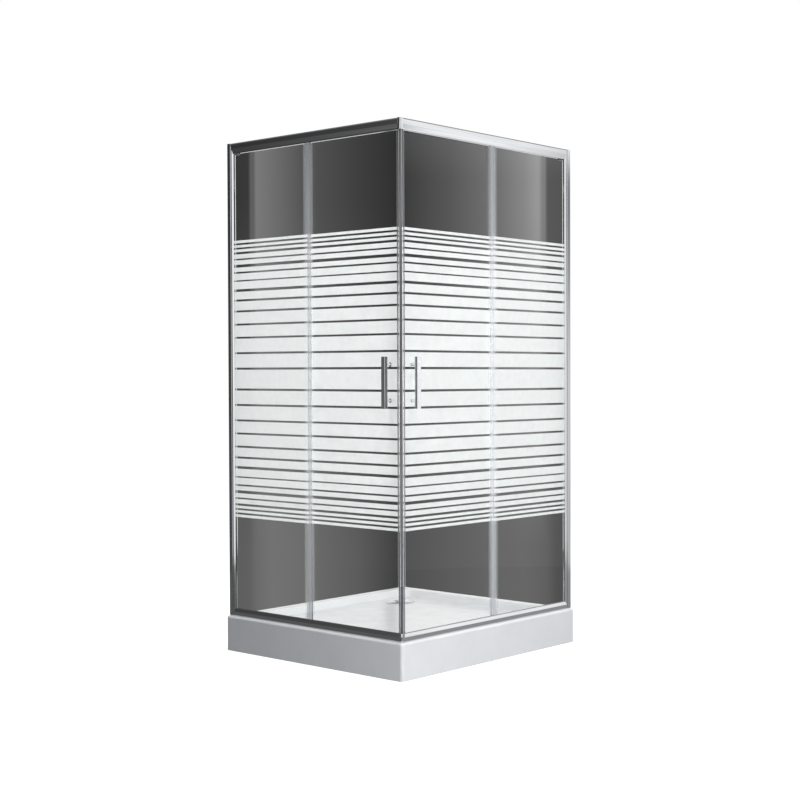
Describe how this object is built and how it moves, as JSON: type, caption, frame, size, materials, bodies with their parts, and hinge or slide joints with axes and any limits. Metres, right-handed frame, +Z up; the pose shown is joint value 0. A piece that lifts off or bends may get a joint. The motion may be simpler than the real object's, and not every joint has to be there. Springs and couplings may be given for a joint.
{
  "type": "shower enclosure",
  "caption": "Square corner shower enclosure with sliding glass doors that meet at the corner, printed stripes and a raised tray.",
  "frame": {"origin": "on the floor, under the centre of the square tray", "axes": "+Z up; the two glass sides are at -Y (left from outside) and +X (right); the walls are at -X and +Y"},
  "size_m": [1, 1, 2.04],
  "materials": {
    "tray_acrylic": "glossy white acrylic shell",
    "base_board": "raw chipboard under the shell",
    "zinc_steel": "zinc plated",
    "black_plastic": "moulded, matt",
    "trap_plastic": "moulded, matt white",
    "waste_rubber": "matt",
    "chrome": "polished chrome plate",
    "bright_aluminium": "extruded, polished and bright anodised",
    "cap_plastic": "moulded grey cap",
    "clear_glass": "clear toughened glass, polished edges",
    "white_print": "satin white print fired on the glass",
    "seal_vinyl": "milky flexible vinyl",
    "magnet_rubber": "dark magnetic rubber strip",
    "roller_plastic": "white nylon",
    "screw_steel": "stainless"
  },
  "bodies": {
    "enclosure": {"tray": "tray_acrylic", "tray_base_board": "base_board", "tray_leg_studs": "zinc_steel", "tray_leg_nuts": "zinc_steel", "tray_leg_pads": "black_plastic", "waste_trap": "trap_plastic", "waste_flange": "chrome", "waste_gasket": "waste_rubber", "top_corner_connector": "bright_aluminium", "bottom_corner_connector": "bright_aluminium", "corner_screws": "screw_steel", "post_screws": "screw_steel", "left_wall_profile": "bright_aluminium", "left_frame_post": "bright_aluminium", "left_top_rail": "bright_aluminium", "left_bottom_rail": "bright_aluminium", "left_top_end_cap": "cap_plastic", "left_bottom_end_cap": "cap_plastic", "left_fixed_glass": "clear_glass", "left_fixed_stripes": "white_print", "left_fixed_edge_seal": "seal_vinyl", "left_door_stops": "waste_rubber", "right_wall_profile": "bright_aluminium", "right_frame_post": "bright_aluminium", "right_top_rail": "bright_aluminium", "right_bottom_rail": "bright_aluminium", "right_top_end_cap": "cap_plastic", "right_bottom_end_cap": "cap_plastic", "right_fixed_glass": "clear_glass", "right_fixed_stripes": "white_print", "right_fixed_edge_seal": "seal_vinyl", "right_door_stops": "waste_rubber"},
    "left_door": {"left_door_glass": "clear_glass", "left_door_stripes": "white_print", "left_magnetic_seal": "seal_vinyl", "left_magnet_strip": "magnet_rubber", "left_trailing_seal": "seal_vinyl", "left_door_handle": "chrome", "left_handle_fixings": "chrome", "left_top_roller_bolts": "zinc_steel", "left_bottom_roller_bolts": "zinc_steel"},
    "left_top_front_roller_wheel": {"left_top_front_roller": "roller_plastic"},
    "left_top_rear_roller_wheel": {"left_top_rear_roller": "roller_plastic"},
    "left_bottom_front_roller_wheel": {"left_bottom_front_roller": "roller_plastic"},
    "left_bottom_rear_roller_wheel": {"left_bottom_rear_roller": "roller_plastic"},
    "right_door": {"right_door_glass": "clear_glass", "right_door_stripes": "white_print", "right_magnetic_seal": "seal_vinyl", "right_magnet_strip": "magnet_rubber", "right_trailing_seal": "seal_vinyl", "right_door_handle": "chrome", "right_handle_fixings": "chrome", "right_top_roller_bolts": "zinc_steel", "right_bottom_roller_bolts": "zinc_steel"},
    "right_top_front_roller_wheel": {"right_top_front_roller": "roller_plastic"},
    "right_top_rear_roller_wheel": {"right_top_rear_roller": "roller_plastic"},
    "right_bottom_front_roller_wheel": {"right_bottom_front_roller": "roller_plastic"},
    "right_bottom_rear_roller_wheel": {"right_bottom_rear_roller": "roller_plastic"},
    "drain_cover": {"waste_cover": "chrome"}
  },
  "joints": [
    {"name": "left_door_slide", "type": "slide", "parent": "enclosure", "child": "left_door", "axis": [-1, 0, 0], "range_m": [0, 0.407]},
    {"name": "left_top_front_roller_spin", "type": "hinge", "parent": "left_door", "child": "left_top_front_roller_wheel", "pos_m": [0.3875, -0.4462, 2.0173], "axis": [0, 1, 0], "range_deg": [-2140, 20]},
    {"name": "left_top_rear_roller_spin", "type": "hinge", "parent": "left_door", "child": "left_top_rear_roller_wheel", "pos_m": [0.005, -0.4462, 2.0173], "axis": [0, 1, 0], "range_deg": [-2140, 20]},
    {"name": "left_bottom_front_roller_spin", "type": "hinge", "parent": "left_door", "child": "left_bottom_front_roller_wheel", "pos_m": [0.3875, -0.4467, 0.157], "axis": [0, 1, 0], "range_deg": [-2935, 20]},
    {"name": "left_bottom_rear_roller_spin", "type": "hinge", "parent": "left_door", "child": "left_bottom_rear_roller_wheel", "pos_m": [0.005, -0.4467, 0.157], "axis": [0, 1, 0], "range_deg": [-2935, 20]},
    {"name": "right_door_slide", "type": "slide", "parent": "enclosure", "child": "right_door", "axis": [0, 1, 0], "range_m": [0, 0.407]},
    {"name": "right_top_front_roller_spin", "type": "hinge", "parent": "right_door", "child": "right_top_front_roller_wheel", "pos_m": [0.4462, -0.3875, 2.0173], "axis": [1, 0, 0], "range_deg": [-2140, 20]},
    {"name": "right_top_rear_roller_spin", "type": "hinge", "parent": "right_door", "child": "right_top_rear_roller_wheel", "pos_m": [0.4462, -0.005, 2.0173], "axis": [1, 0, 0], "range_deg": [-2140, 20]},
    {"name": "right_bottom_front_roller_spin", "type": "hinge", "parent": "right_door", "child": "right_bottom_front_roller_wheel", "pos_m": [0.4467, -0.3875, 0.157], "axis": [1, 0, 0], "range_deg": [-2935, 20]},
    {"name": "right_bottom_rear_roller_spin", "type": "hinge", "parent": "right_door", "child": "right_bottom_rear_roller_wheel", "pos_m": [0.4467, -0.005, 0.157], "axis": [1, 0, 0], "range_deg": [-2935, 20]},
    {"name": "waste_cover_lift", "type": "slide", "parent": "enclosure", "child": "drain_cover", "axis": [0, 0, 1], "range_m": [0, 0.03]}
  ],
  "couplings": [
    {"joint": "left_top_front_roller_spin", "follows": "left_door_slide", "rad_per_m": -90.909},
    {"joint": "left_top_rear_roller_spin", "follows": "left_door_slide", "rad_per_m": -90.909},
    {"joint": "left_bottom_front_roller_spin", "follows": "left_door_slide", "rad_per_m": -125},
    {"joint": "left_bottom_rear_roller_spin", "follows": "left_door_slide", "rad_per_m": -125},
    {"joint": "right_top_front_roller_spin", "follows": "right_door_slide", "rad_per_m": -90.909},
    {"joint": "right_top_rear_roller_spin", "follows": "right_door_slide", "rad_per_m": -90.909},
    {"joint": "right_bottom_front_roller_spin", "follows": "right_door_slide", "rad_per_m": -125},
    {"joint": "right_bottom_rear_roller_spin", "follows": "right_door_slide", "rad_per_m": -125}
  ]
}
